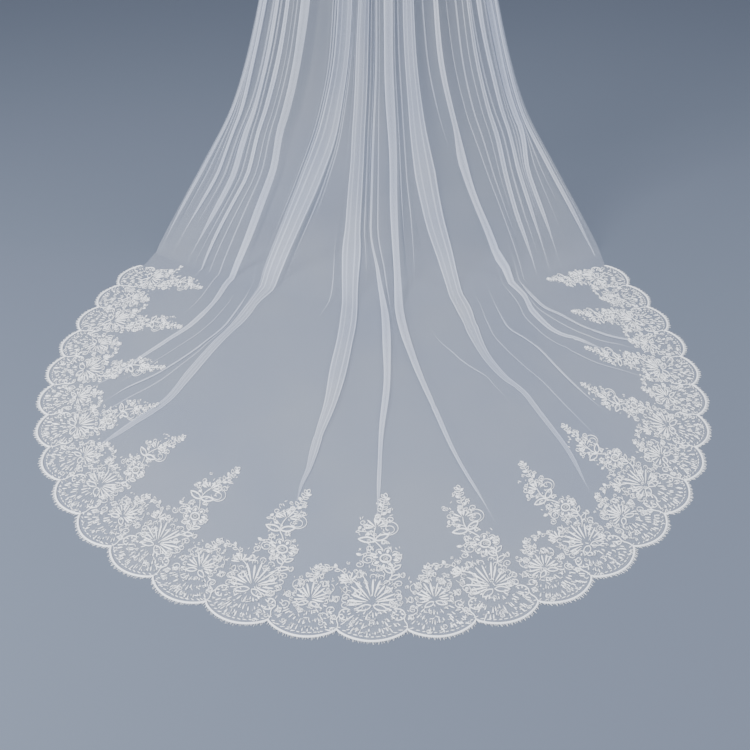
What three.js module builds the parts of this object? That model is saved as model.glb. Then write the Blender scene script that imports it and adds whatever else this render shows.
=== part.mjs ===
// A cathedral-length bridal veil as it is worn: one width of tulle gathered on a hair comb, falling
// down the wearer's back and spread behind them on the floor as a rounded train, with a scalloped
// floral lace edging. Millimetres, +Z up. The origin is the middle of the comb's spine, and the
// wearer faces +Y.
import * as THREE from "three";

// Driving sizes
const COMB_HEIGHT = 1600; // the comb's spine above the floor
const TRAIN_REACH = 1610; // from the comb back to the scallop valleys at the train's tip
const TRAIN_HALF = 735; // from the middle to the scallop valleys where the train is widest
const TRAIN_ROUND = 822; // the rounded end, from the tip to the widest line
const START_HALF = 643; // half the distance between the two ends of the lace
const START_Y = -290; // where the lace ends, behind the comb
const SCALLOPS = 29;
const SCALLOP_DEPTH = 24;
const SCALLOP_ROUND = 0.7; // below 1 a scallop is fuller than a cosine arc
const TULLE_WALL = 1;
const LACE_WALL = 1;
const SEAM = 0.3; // gap between neighbouring pieces
const SPLIT_GAP = 0.5; // gap between the two stretches of tulle, whose walls turn a little there

const COMB_WIDTH = 92;
const COMB_SPINE = 6; // height of the spine
const COMB_THICK = 2;
const COMB_TILT = Math.PI / 6; // the teeth point down and this far forward
const TOOTH_COUNT = 20;
const TOOTH_LENGTH = 40;
const TOOTH_WIDTH = 2.2;

const FLOOR = -COMB_HEIGHT;
const HEM_HALF = SCALLOPS / 2; // half of the hem, in scallops
const SEWN = COMB_SPINE / 2 + SEAM; // from the origin to the gathered edge

const SEWN_HEIGHT = COMB_HEIGHT + SEWN * Math.cos(COMB_TILT);
const SEWN_BACK = -SEWN * Math.sin(COMB_TILT);

// Sections of the fall, from the comb to the floor. height is above the floor, half is half the
// width, back and side are the Y of the middle and of the two side edges, and depth is how far the
// folds stand out.
const SECTIONS = [
  { height: SEWN_HEIGHT, half: 44, back: SEWN_BACK, side: SEWN_BACK, depth: 2.2 },
  { height: 1614, half: 47, back: -8, side: -8, depth: 3 },
  { height: 1619, half: 54, back: -24, side: -18, depth: 5 },
  { height: 1606, half: 66, back: -44, side: -28, depth: 7 },
  { height: 1560, half: 90, back: -70, side: -34, depth: 9 },
  { height: 1460, half: 132, back: -100, side: -30, depth: 10 },
  { height: 1320, half: 180, back: -126, side: -16, depth: 13 },
  { height: 1100, half: 224, back: -150, side: -10, depth: 16 },
  { height: 820, half: 272, back: -168, side: -24, depth: 19 },
  { height: 560, half: 336, back: -196, side: -60, depth: 21 },
  { height: 390, half: 396, back: -228, side: -96, depth: 20 },
  { height: 240, half: 484, back: -276, side: -136, depth: 17 },
  { height: 130, half: 554, back: -334, side: -168, depth: 13 },
  { height: 60, half: 598, back: -394, side: -190, depth: 10 },
  { height: 16, half: 624, back: -460, side: -204, depth: 8 },
  { height: 0, half: 632, back: -535, side: -212, depth: 8 },
];
const FALL_SHIFT = 14; // the fall hangs this far to the right of the train's middle
const SHIFT_ABOVE = 900; // above this the shift eases off towards the comb
const SPREAD_HEIGHT = 600; // below this the folds swing out towards their places on the hem
const SPREAD_SHARE = 0.25;
const FALL_BOW = 2; // power of the curve from the middle to the side edges, high up and at the floor
const FOOT_BOW = 1.4;
const EVEN_ABOVE = 1560; // above this the gathers are evenly spaced, and below it they drift apart
const DRIFT_BELOW = 900;

// Folds, from the left as seen from behind the wearer. fall is a fold's place across the fall (-1 and
// 1 are the side edges), hem is the scallop that it points to, and size is its share of the depth.
const FOLDS = [
  { fall: -0.93, hem: -13.5, size: 0.6 },
  { fall: -0.8, hem: -12.1, size: 0.7 },
  { fall: -0.62, hem: -9.6, size: 0.7 },
  { fall: -0.36, hem: -6.9, size: 1.1 },
  { fall: -0.13, hem: -1.7, size: 1.2 },
  { fall: 0.06, hem: 0.5, size: 0.8 },
  { fall: 0.25, hem: 3.4, size: 1.1 },
  { fall: 0.47, hem: 9.9, size: 0.8 },
  { fall: 0.69, hem: 11.4, size: 0.6 },
  { fall: 0.83, hem: 12.6, size: 0.7 },
  { fall: 0.95, hem: 13.8, size: 0.6 },
];
const FLAT_RIM = 430; // within this of the hem the cloth lies flat under the lace
const FADE = 200; // the length over which the folds flatten towards it
const RIM_INSET = 40; // the cloth reaches the hem square to it over this width
const RIM_CORNER = 1; // in the last scallop at each end it runs out to the side edge instead

// Places across one fold where its section is taken, from its start towards the next fold.
const FOLD_STEPS = [0, 0.18, 0.34, 0.5, 0.66, 0.82];
// Places down the veil of the rows of the two solids: 0 at the comb, FOOT at the floor, 1 at the hem.
const FOOT = 0.6;
const SPLIT = 0.5;
const FALL_ROWS = [0, 0.008, 0.02, 0.045, 0.09, 0.16, 0.26, 0.38, SPLIT];
const TRAIN_ROWS = [SPLIT, 0.54, 0.575, FOOT, 0.69, 0.79, 0.86, 1];
const SCALLOP_STEPS = [-0.5, -0.2, 0.2];

const smooth = THREE.MathUtils.smoothstep;

// A smooth curve through (xs, ys) that never overshoots its points.
function monotone(xs, ys) {
  const slopes = xs.slice(1).map((x, i) => (ys[i + 1] - ys[i]) / (x - xs[i]));
  const tangents = ys.map((_, i) => {
    const before = slopes[Math.max(i - 1, 0)];
    const after = slopes[Math.min(i, slopes.length - 1)];
    return before * after <= 0 ? 0 : (2 * before * after) / (before + after);
  });
  return (x) => {
    let i = 0;
    while (i < slopes.length - 1 && x > xs[i + 1]) i++;
    const width = xs[i + 1] - xs[i];
    const t = (x - xs[i]) / width;
    const hermite = new THREE.Vector4(
      (1 + 2 * t) * (1 - t) ** 2,
      t * (1 - t) ** 2 * width,
      t * t * (3 - 2 * t),
      t * t * (t - 1) * width,
    );
    return hermite.dot(new THREE.Vector4(ys[i], tangents[i], ys[i + 1], tangents[i + 1]));
  };
}

// The hem on the floor

const widestY = TRAIN_ROUND - TRAIN_REACH;
const hemSide = new THREE.Path()
  .absellipse(0, widestY, TRAIN_HALF, TRAIN_ROUND, -Math.PI / 2, 0)
  .quadraticCurveTo(TRAIN_HALF, (widestY + START_Y) / 2, START_HALF, START_Y);
const pitch = hemSide.getLength() / HEM_HALF;

// The line of the scallop valleys at a place counted in scallops from the middle, with the direction
// along the hem and the direction out of the cloth.
function hemAt(place) {
  const share = Math.min(Math.abs(place) / HEM_HALF, 1);
  const side = place < 0 ? -1 : 1;
  const along = hemSide.getTangent(share);
  const past = Math.max(Math.abs(place) - HEM_HALF, 0) * pitch; // straight on past the lace's end
  const point = hemSide.getPoint(share).addScaledVector(along, past);
  point.x *= side;
  along.y *= side;
  return { point, along, out: new THREE.Vector2(along.y, -along.x) };
}

// How far the edge bulges past that line: one arc to each scallop.
function bulge(place) {
  const across = place - Math.round(place);
  return SCALLOP_DEPTH * Math.max(Math.cos(Math.PI * across), 0) ** SCALLOP_ROUND;
}

// Places along the hem from which the distance to it is measured.
const marksEach = 4;
const hemMarks = Array.from({ length: marksEach * SCALLOPS + 1 }, (_, i) => {
  const { point } = hemAt(i / marksEach - HEM_HALF);
  return new THREE.Vector3(point.x, point.y, FLOOR);
});

// The drape of the tulle

const foldPlaces = [0, ...FOLDS.map((_, i) => i + 0.5), FOLDS.length];
const fallAt = monotone(foldPlaces, [-1, ...FOLDS.map((fold) => fold.fall), 1]);
const hemPlaceAt = monotone(foldPlaces, [-HEM_HALF, ...FOLDS.map((fold) => fold.hem), HEM_HALF]);

// One line down the unfolded veil, from the comb to the hem. Places across are counted in folds.
function lineDown(across) {
  const fall = fallAt(across);
  const hemPlace = hemPlaceAt(across);
  const hem = hemAt(hemPlace);
  const end = hem.point.clone().addScaledVector(hem.out, bulge(hemPlace));
  const reach = THREE.MathUtils.clamp(hem.point.x / START_HALF, -1, 1);
  const foot = THREE.MathUtils.lerp(fall, reach, SPREAD_SHARE);
  const lying = FLOOR + TULLE_WALL / 2;
  const even = (2 * across) / FOLDS.length - 1;
  const stops = SECTIONS.map((section) => {
    const drifted = THREE.MathUtils.lerp(fall, even, smooth(section.height, DRIFT_BELOW, EVEN_ABOVE));
    const share = THREE.MathUtils.lerp(foot, drifted, smooth(section.height, 0, SPREAD_HEIGHT));
    const bow = THREE.MathUtils.lerp(FOOT_BOW, FALL_BOW, smooth(section.height, 0, SPREAD_HEIGHT));
    const y = THREE.MathUtils.lerp(section.back, section.side, Math.abs(share) ** bow);
    const shift = FALL_SHIFT * (1 - smooth(section.height, SHIFT_ABOVE, COMB_HEIGHT));
    return [section.half * share + shift, y, lying + section.height, section.depth];
  });
  const square = RIM_INSET * smooth(HEM_HALF - Math.abs(hemPlace), 0, RIM_CORNER);
  const inset = hem.point.clone().addScaledVector(hem.out, -square);
  for (const point of [inset, end]) stops.push([point.x, point.y, lying, SECTIONS.at(-1).depth]);
  const distances = [0];
  for (let i = 1; i < stops.length; i++) {
    const step = Math.hypot(...[0, 1, 2].map((axis) => stops[i][axis] - stops[i - 1][axis]));
    distances.push(distances[i - 1] + step);
  }
  const hanging = distances[SECTIONS.length - 1];
  const length = distances.at(-1);
  const distance = (down) =>
    down < FOOT
      ? (down / FOOT) * hanging
      : THREE.MathUtils.mapLinear(down, FOOT, 1, hanging, length);
  const [x, y, z, depth] = [0, 1, 2, 3].map((k) => monotone(distances, stops.map((stop) => stop[k])));
  return {
    distance,
    point: (down) => new THREE.Vector3(x(distance(down)), y(distance(down)), z(distance(down))),
    depth: (down) => depth(distance(down)),
  };
}

const lines = new Map();
function lineAt(across) {
  const place = THREE.MathUtils.clamp(across, 0, FOLDS.length);
  if (!lines.has(place)) lines.set(place, lineDown(place));
  return lines.get(place);
}

// A point in the middle of the cloth's thickness: the unfolded veil moved out by the fold there.
function drape(across, down) {
  const line = lineAt(across);
  const point = line.point(down);
  const fold = Math.min(Math.floor(across), FOLDS.length - 1);
  const ridge = (1 - Math.cos(2 * Math.PI * (across - fold))) / 2;
  const fade = smooth(hemDistance(point), FLAT_RIM, FLAT_RIM + FADE);
  return point.addScaledVector(outward(across, down), line.depth(down) * FOLDS[fold].size * ridge * fade);
}

function hemDistance(point) {
  return Math.min(...hemMarks.map((mark) => mark.distanceTo(point)));
}

// The direction away from the wearer, and upwards on the floor, at a place on the unfolded veil.
function outward(across, down) {
  const nudge = 1e-3;
  const right = lineAt(across + nudge).point(down);
  const left = lineAt(across - nudge).point(down);
  const top = lineAt(across).point(Math.max(down - nudge, 0));
  const below = lineAt(across).point(Math.min(down + nudge, 1));
  return below.sub(top).cross(right.sub(left)).normalize();
}

// The direction through a point of a line, halfway between the steps to it and from it.
function heading(before, point, after) {
  const direction = new THREE.Vector3();
  if (before) direction.add(point.clone().sub(before).normalize());
  if (after) direction.add(after.clone().sub(point).normalize());
  return direction;
}

// A closed wall of even thickness about a grid of points, rows of equal length.
function wall(rows, thickness) {
  const last = rows.length - 1;
  const lastColumn = rows[0].length - 1;
  const outer = [];
  const inner = [];
  rows.forEach((row, j) => {
    row.forEach((point, i) => {
      const along = heading(row[i - 1], point, row[i + 1]);
      const down = heading(rows[j - 1]?.[i], point, rows[j + 1]?.[i]);
      const lies = point.z < FLOOR + thickness;
      const out = (lies ? new THREE.Vector3(0, 0, 1) : down.cross(along)).setLength(thickness / 2);
      outer.push(point.clone().add(out));
      inner.push(point.clone().sub(out));
      inner.at(-1).z = Math.max(inner.at(-1).z, FLOOR);
    });
  });
  const columns = lastColumn + 1;
  const index = [];
  const quad = (a, b, c, d) => index.push(a, b, c, a, c, d);
  const back = outer.length; // the inner points follow the outer ones
  for (let j = 0; j < last; j++) {
    for (let i = 0; i < lastColumn; i++) {
      const a = j * columns + i;
      const b = a + columns;
      quad(a, b, b + 1, a + 1);
      quad(back + a, back + a + 1, back + b + 1, back + b);
    }
    const [start, end] = [j * columns, j * columns + lastColumn];
    quad(start, back + start, back + start + columns, start + columns);
    quad(end, end + columns, back + end + columns, back + end);
  }
  for (let i = 0; i < lastColumn; i++) {
    const low = last * columns + i;
    quad(i, i + 1, back + i + 1, back + i);
    quad(low, back + low, back + low + 1, low + 1);
  }
  const geometry = new THREE.BufferGeometry().setFromPoints([...outer, ...inner]);
  return geometry.setIndex(index);
}

// Places across the veil where its section is taken: every fold's turns, and every scallop's shape.
function tulleColumns() {
  const nearest = 0.06; // in scallops
  const columns = FOLDS.flatMap((_, i) => FOLD_STEPS.map((step) => i + step));
  columns.push(FOLDS.length);
  for (let scallop = Math.ceil(-HEM_HALF); scallop <= HEM_HALF; scallop++) {
    for (const step of SCALLOP_STEPS) columns.push(acrossAtHem(scallop + step));
  }
  columns.sort((a, b) => a - b);
  const isValley = (across) => Math.abs(Math.abs(hemPlaceAt(across) % 1) - 0.5) < 1e-4;
  return columns.filter((across, i) => {
    if (isValley(across)) return i === 0 || !isValley(columns[i - 1]);
    const neighbours = [columns[i - 1], columns[i + 1]].map(hemPlaceAt);
    return neighbours.every((other) => Math.abs(other - hemPlaceAt(across)) > nearest);
  });
}

// The place across the folds that ends at a place on the hem, by halving.
function acrossAtHem(place) {
  const halvings = 40;
  let [low, high] = [0, FOLDS.length];
  for (let i = 0; i < halvings; i++) {
    const middle = (low + high) / 2;
    if (hemPlaceAt(middle) < place) low = middle;
    else high = middle;
  }
  return (low + high) / 2;
}

// One stretch of the tulle, kept back by half the gap where it meets the other.
function tulleStretch(columns, rows) {
  const grid = rows.map((row) =>
    columns.map((across) => {
      const back = row === SPLIT ? (SPLIT_GAP / 2) * (SPLIT / lineAt(across).distance(SPLIT)) : 0;
      return drape(across, rows[0] === SPLIT ? row + back : row - back);
    }),
  );
  return wall(grid, TULLE_WALL);
}

// The lace edging

// Outline of the tall flower spire and of the small fan, as sections across each: rise is measured
// inwards from the valleys, left and right are along the hem.
const SPIRE = [
  { rise: 96, left: -44, right: 50 },
  { rise: 126, left: -60, right: 46 },
  { rise: 152, left: -56, right: 28 },
  { rise: 172, left: -24, right: 42 },
  { rise: 206, left: -28, right: 48 },
  { rise: 226, left: -14, right: 16 },
  { rise: 246, left: -34, right: 32 },
  { rise: 262, left: -12, right: 20 },
  { rise: 288, left: -30, right: 36 },
  { rise: 330, left: 4, right: 28 },
];
const SPIRE_TIP = { rise: 366, middle: 24 };
const FAN = [
  { rise: 78, left: -38, right: 40 },
  { rise: 108, left: -46, right: 44 },
  { rise: 132, left: -20, right: 22 },
];
const FAN_TIP = { rise: 162, middle: 3 };
const BAND_RISE = 58; // where neighbouring motifs part
const BEND_TO = 170; // above this a motif stands straight instead of bending with the hem

// Cut gaps: kites set round a centre. turn is the middle of the set in degrees from straight in,
// spread the angle between neighbours, and near, wide and far are radii.
const SPIRE_GAPS = [
  { x: 0, rise: 62, count: 6, turn: 0, spread: 22, near: 18, wide: 40, far: 50, half: 5.5 },
  { x: 0, rise: 50, count: 3, turn: 180, spread: 42, near: 16, wide: 36, far: 48, half: 7 },
  { x: 22, rise: 191, count: 1, turn: 0, spread: 0, near: -9, wide: 0, far: 9, half: 8 },
  { x: -1, rise: 244, count: 2, turn: 0, spread: 180, near: 6, wide: 14, far: 23, half: 4.5 },
];
const FAN_GAPS = [{ x: 0, rise: 58, count: 4, turn: 0, spread: 34, near: 16, wide: 36, far: 46, half: 6 }];

// Motifs along the hem, which is drawn up in folds towards both ends. scallop is counted from the
// middle, tall is the share of a motif's rise above the band, and lean is how far along the hem the tip
// of a spire is drawn.
const MOTIFS = [
  { scallop: -14, tall: 0.55, lean: -20 },
  { scallop: -11, tall: 0.66, lean: -22 },
  { scallop: -8, tall: 0.62, lean: -56 },
  { scallop: -6, tall: 0.74, lean: -88 },
  { scallop: -4, tall: 0.88, lean: -72 },
  { scallop: 0, tall: 1, lean: 2 },
  { scallop: 4, tall: 0.86, lean: 60 },
  { scallop: 8, tall: 0.7, lean: 90 },
  { scallop: 11, tall: 0.52, lean: 60 },
  { scallop: 14, tall: 0.45, lean: 14 },
];
const motifScallops = MOTIFS.map((motif) => motif.scallop);
const tallAt = monotone(motifScallops, MOTIFS.map((motif) => motif.tall));
const leanAt = monotone(motifScallops, MOTIFS.map((motif) => motif.lean));

// A place on the floor for a point of the motif at one scallop: near the hem the motif bends with it.
function motifPoint(scallop, x, rise) {
  const above = Math.max(rise - BAND_RISE, 0);
  const up = rise - above * (1 - tallAt(scallop));
  const drawn = x + (leanAt(scallop) * above) / (SPIRE_TIP.rise - BAND_RISE);
  const bent = hemAt(scallop + drawn / pitch);
  const bentPoint = bent.point.clone().addScaledVector(bent.out, -up);
  const middle = hemAt(scallop);
  const straight = middle.point.clone().addScaledVector(middle.along, drawn);
  straight.addScaledVector(middle.out, -up);
  return bentPoint.lerp(straight, smooth(up, BAND_RISE, BEND_TO));
}

const isSpire = (scallop) => scallop % 2 === 0;

function motifOutline(scallop) {
  const [sections, tip] = isSpire(scallop) ? [SPIRE, SPIRE_TIP] : [FAN, FAN_TIP];
  const left = sections.map((section) => motifPoint(scallop, section.left, section.rise));
  const right = sections.map((section) => motifPoint(scallop, section.right, section.rise)).reverse();
  return [...left, motifPoint(scallop, tip.middle, tip.rise), ...right];
}

function motifGaps(scallop) {
  const sets = isSpire(scallop) ? SPIRE_GAPS : FAN_GAPS;
  return sets.flatMap((set) =>
    Array.from({ length: set.count }, (_, i) => {
      const angle = THREE.MathUtils.degToRad(set.turn + (i - (set.count - 1) / 2) * set.spread);
      const corner = (radius, side) => {
        const x = set.x + radius * Math.sin(angle) + side * Math.cos(angle);
        const rise = set.rise + radius * Math.cos(angle) - side * Math.sin(angle);
        return motifPoint(scallop, x, rise);
      };
      const { near, wide, far, half } = set;
      return new THREE.Path([corner(near, 0), corner(wide, half), corner(far, 0), corner(wide, -half)]);
    }),
  );
}

function laceEdging() {
  const scallops = Array.from({ length: SCALLOPS }, (_, i) => i - Math.floor(HEM_HALF));
  const edgePoint = (place) => {
    const hem = hemAt(place);
    return hem.point.clone().addScaledVector(hem.out, bulge(place));
  };
  const edge = scallops.flatMap((scallop) => SCALLOP_STEPS.map((step) => edgePoint(scallop + step)));
  edge.push(edgePoint(HEM_HALF));
  const inside = scallops.flatMap((scallop) => [
    motifPoint(scallop, -pitch / 2, BAND_RISE),
    ...motifOutline(scallop),
  ]);
  inside.push(motifPoint(scallops.at(-1), pitch / 2, BAND_RISE));
  const shape = new THREE.Shape([...edge, ...inside.reverse()]);
  shape.holes = scallops.flatMap(motifGaps);
  const geometry = new THREE.ExtrudeGeometry(shape, { depth: LACE_WALL, bevelEnabled: false });
  return geometry.translate(0, 0, FLOOR + TULLE_WALL + SEAM);
}

// The comb

function comb() {
  const spine = COMB_SPINE / 2;
  const half = COMB_WIDTH / 2;
  const tipLength = 5;
  const spacing = (COMB_WIDTH - TOOTH_WIDTH) / (TOOTH_COUNT - 1);
  const shape = new THREE.Shape();
  shape.moveTo(half, -spine);
  shape.lineTo(half, spine);
  shape.lineTo(-half, spine);
  for (let i = 0; i < TOOTH_COUNT; i++) {
    const x = -half + i * spacing;
    shape.lineTo(x, -spine);
    shape.lineTo(x, -TOOTH_LENGTH + tipLength);
    shape.lineTo(x + TOOTH_WIDTH / 2, -TOOTH_LENGTH);
    shape.lineTo(x + TOOTH_WIDTH, -TOOTH_LENGTH + tipLength);
    if (i < TOOTH_COUNT - 1) shape.lineTo(x + TOOTH_WIDTH, -spine);
  }
  const geometry = new THREE.ExtrudeGeometry(shape, { depth: COMB_THICK, bevelEnabled: false });
  return geometry.translate(0, 0, -COMB_THICK / 2);
}

// The veil

const tulle = new THREE.MeshStandardMaterial({ color: 0xe9ebf2, roughness: 0.8, metalness: 0 });
const lace = new THREE.MeshStandardMaterial({ color: 0xf6f6f8, roughness: 0.6, metalness: 0 });
const clearPlastic = new THREE.MeshStandardMaterial({ color: 0xdfe3e6, roughness: 0.25, metalness: 0 });

const veil = new THREE.Group();
function add(name, geometry, material) {
  const mesh = new THREE.Mesh(geometry, material);
  mesh.name = name;
  veil.add(mesh);
  return mesh;
}
const columns = tulleColumns();
add("tulle_fall", tulleStretch(columns, FALL_ROWS), tulle);
add("tulle_train", tulleStretch(columns, TRAIN_ROWS), tulle);
add("lace_edging", laceEdging(), lace);
add("comb", comb(), clearPlastic).rotation.x = Math.PI / 2 + COMB_TILT;

export default veil;
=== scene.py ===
import math
import bpy
import numpy as np
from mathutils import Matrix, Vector
from mathutils.bvhtree import BVHTree


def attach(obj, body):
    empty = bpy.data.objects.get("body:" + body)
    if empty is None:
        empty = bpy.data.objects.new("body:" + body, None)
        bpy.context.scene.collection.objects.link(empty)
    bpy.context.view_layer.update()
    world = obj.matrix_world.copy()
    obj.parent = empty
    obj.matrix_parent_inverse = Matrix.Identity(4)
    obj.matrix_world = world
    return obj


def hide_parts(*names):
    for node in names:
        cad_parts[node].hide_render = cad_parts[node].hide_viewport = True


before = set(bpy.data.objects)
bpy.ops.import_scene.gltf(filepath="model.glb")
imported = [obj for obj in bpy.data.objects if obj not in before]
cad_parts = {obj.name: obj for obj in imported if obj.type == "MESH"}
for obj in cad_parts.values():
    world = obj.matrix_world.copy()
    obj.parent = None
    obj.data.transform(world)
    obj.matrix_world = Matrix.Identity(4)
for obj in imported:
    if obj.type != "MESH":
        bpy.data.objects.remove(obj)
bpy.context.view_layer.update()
print("frame loaded")

mm = 0.001


# colours are written as sRGB hex
def hexColour(text):
    parts = [int(text[k:k + 2], 16) / 255 for k in (0, 2, 4)]
    return [c / 12.92 if c <= 0.04045 else ((c + 0.055) / 1.055) ** 2.4 for c in parts] + [1]


def addNode(tree, kind, inputs=None, **settings):
    node = tree.nodes.new(kind)
    for key, value in settings.items():
        setattr(node, key, value)
    for key, value in (inputs or {}).items():
        if isinstance(value, bpy.types.NodeSocket):
            tree.links.new(value, node.inputs[key])
        else:
            node.inputs[key].default_value = value
    return node


def newMaterial(name, **values):
    material = bpy.data.materials.new(name)
    material.use_nodes = True
    shader = material.node_tree.nodes["Principled BSDF"]
    for key, value in values.items():
        shader.inputs[key.replace("_", " ")].default_value = value
    return material, material.node_tree, shader


# colour between two tones by fine noise, in cells to the metre; gives back the noise for a bump
def mottle(tree, shader, cells, dark, light, detail=2.0):
    where = addNode(tree, "ShaderNodeTexCoord")
    noise = addNode(tree, "ShaderNodeTexNoise",
                    {"Vector": where.outputs["Object"], "Scale": cells, "Detail": detail})
    shade = addNode(tree, "ShaderNodeValToRGB", {"Fac": noise.outputs["Fac"]})
    shade.color_ramp.elements[0].color = hexColour(dark)
    shade.color_ramp.elements[1].color = hexColour(light)
    tree.links.new(shade.outputs["Color"], shader.inputs["Base Color"])
    return noise


def roughen(tree, shader, noise, strength, distance):
    bump = addNode(tree, "ShaderNodeBump",
                   {"Height": noise.outputs["Fac"], "Strength": strength, "Distance": distance})
    tree.links.new(bump.outputs["Normal"], shader.inputs["Normal"])


# a mesh in the part's frame from points in millimetres
def newPiece(name, points, faces, material):
    mesh = bpy.data.meshes.new(name)
    mesh.from_pydata((np.asarray(points) * mm).tolist(), [], [list(map(int, f)) for f in faces])
    mesh.polygons.foreach_set("use_smooth", [True] * len(mesh.polygons))
    mesh.materials.append(material)
    piece = bpy.data.objects.new(name, mesh)
    bpy.context.scene.collection.objects.link(piece)
    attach(piece, "root")
    return piece


def smooth(x, low, high):
    t = np.clip((np.asarray(x, float) - low) / (high - low), 0, 1)
    return t * t * (3 - 2 * t)


# a smooth curve through points that never overshoots them; ys may have several columns
def monotone(xs, ys, at):
    xs, at = np.asarray(xs, float), np.asarray(at, float)
    ys = np.asarray(ys, float).reshape(len(xs), -1)
    widths = np.diff(xs)
    slopes = np.diff(ys, axis=0) / widths[:, None]
    before, after = np.vstack([slopes[:1], slopes]), np.vstack([slopes, slopes[-1:]])
    total = before + after
    tangents = np.where(before * after <= 0, 0, 2 * before * after / np.where(total == 0, 1, total))
    i = np.clip(np.searchsorted(xs, at, side="left") - 1, 0, len(widths) - 1)
    w = widths[i][:, None]
    t = ((at - xs[i]) / widths[i])[:, None]
    return ((1 + 2 * t) * (1 - t) ** 2 * ys[i] + t * (1 - t) ** 2 * w * tangents[i]
            + t * t * (3 - 2 * t) * ys[i + 1] + t * t * (t - 1) * w * tangents[i + 1])


# camera at the photograph's angle
cameraSettings = dict(lens=48, sensor=36, place=(0.005, -2.769, -0.307), down=33.77)
cameraData = bpy.data.cameras.new("photoCamera")
cameraData.lens = cameraSettings["lens"]
cameraData.sensor_width = cameraSettings["sensor"]
camera = bpy.data.objects.new("photoCamera", cameraData)
camera.location = cameraSettings["place"]
camera.rotation_euler = (math.radians(90 - cameraSettings["down"]), 0, 0)
bpy.context.scene.collection.objects.link(camera)
bpy.context.scene.camera = camera

# the form of the veil in millimetres, as the part has it
veil = dict(combHeight=1600, trainReach=1610, trainHalf=735, trainRound=822, startHalf=643, startY=-290,
            scallops=29, scallopDepth=24, scallopRound=0.7, flatRim=430, fade=200, rimInset=40,
            spreadHeight=600, spreadShare=0.25, evenAbove=1560, driftBelow=900, foot=0.6,
            fallShift=14, fallBow=2, footBow=1.4)
floorZ = -veil["combHeight"]
hemHalf = veil["scallops"] / 2

# height above the floor, half width, Y of the middle, Y of the side edges, depth of the ridges
sections = np.array([
    (1602.9, 44, -1.65, -1.65, 2.2), (1614, 47, -8, -8, 3), (1619, 54, -24, -18, 5),
    (1606, 66, -44, -28, 7), (1560, 90, -70, -34, 9), (1460, 132, -100, -30, 10), (1320, 180, -126, -16, 13),
    (1100, 224, -150, -10, 16), (820, 272, -168, -24, 19), (560, 336, -196, -60, 21),
    (390, 396, -228, -96, 20), (240, 484, -276, -136, 17), (130, 554, -334, -168, 13),
    (60, 598, -394, -190, 10), (16, 624, -460, -204, 8), (0, 632, -535, -212, 8),
])
# place across the fall, scallop that the ridge points to, share of the depth
ridges = np.array([
    (-0.93, -13.5, 0.6), (-0.8, -12.1, 0.7), (-0.62, -9.6, 0.7), (-0.36, -6.9, 1.1), (-0.13, -1.7, 1.2),
    (0.06, 0.5, 0.8), (0.25, 3.4, 1.1), (0.47, 9.9, 0.8), (0.69, 11.4, 0.6), (0.83, 12.6, 0.7),
    (0.95, 13.8, 0.6),
])
ridgeCount = len(ridges)
ridgePlaces = np.concatenate([[0], np.arange(ridgeCount) + 0.5, [ridgeCount]])

# the line of the scallop valleys, from the tip of the train to the right end of the lace
widestY = veil["trainRound"] - veil["trainReach"]
turn = np.linspace(-math.pi / 2, 0, 800)
ease = np.linspace(0, 1, 400)[1:, None]
corners = np.array([(veil["trainHalf"], widestY), (veil["trainHalf"], (widestY + veil["startY"]) / 2),
                    (veil["startHalf"], veil["startY"])], float)
hemLine = np.vstack([
    np.stack([veil["trainHalf"] * np.cos(turn), widestY + veil["trainRound"] * np.sin(turn)], 1),
    (1 - ease) ** 2 * corners[0] + 2 * ease * (1 - ease) * corners[1] + ease ** 2 * corners[2],
])
hemArc = np.concatenate([[0], np.cumsum(np.linalg.norm(np.diff(hemLine, axis=0), axis=1))])
pitch = hemArc[-1] / hemHalf
hemHeading = np.gradient(hemLine, hemArc, axis=0)
hemHeading /= np.linalg.norm(hemHeading, axis=1)[:, None]


# points, directions along the hem and directions out of the cloth, at places counted in scallops
def hemAt(place):
    place = np.asarray(place, float)
    reach = np.minimum(np.abs(place), hemHalf) * pitch
    past = np.maximum(np.abs(place) - hemHalf, 0) * pitch
    side = np.where(place < 0, -1, 1)
    along = np.stack([np.interp(reach, hemArc, hemHeading[:, k]) for k in (0, 1)], -1)
    point = np.stack([np.interp(reach, hemArc, hemLine[:, k]) for k in (0, 1)], -1) + along * past[..., None]
    point[..., 0] *= side
    along[..., 1] *= side
    return point, along, np.stack([along[..., 1], -along[..., 0]], -1)


def bulge(place):
    across = place - np.round(place)
    return veil["scallopDepth"] * np.maximum(np.cos(np.pi * across), 0) ** veil["scallopRound"]


def fallAt(across):
    return monotone(ridgePlaces, np.concatenate([[-1], ridges[:, 0], [1]]), across)[:, 0]


def hemPlaceAt(across):
    return monotone(ridgePlaces, np.concatenate([[-hemHalf], ridges[:, 1], [hemHalf]]), across)[:, 0]


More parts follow.
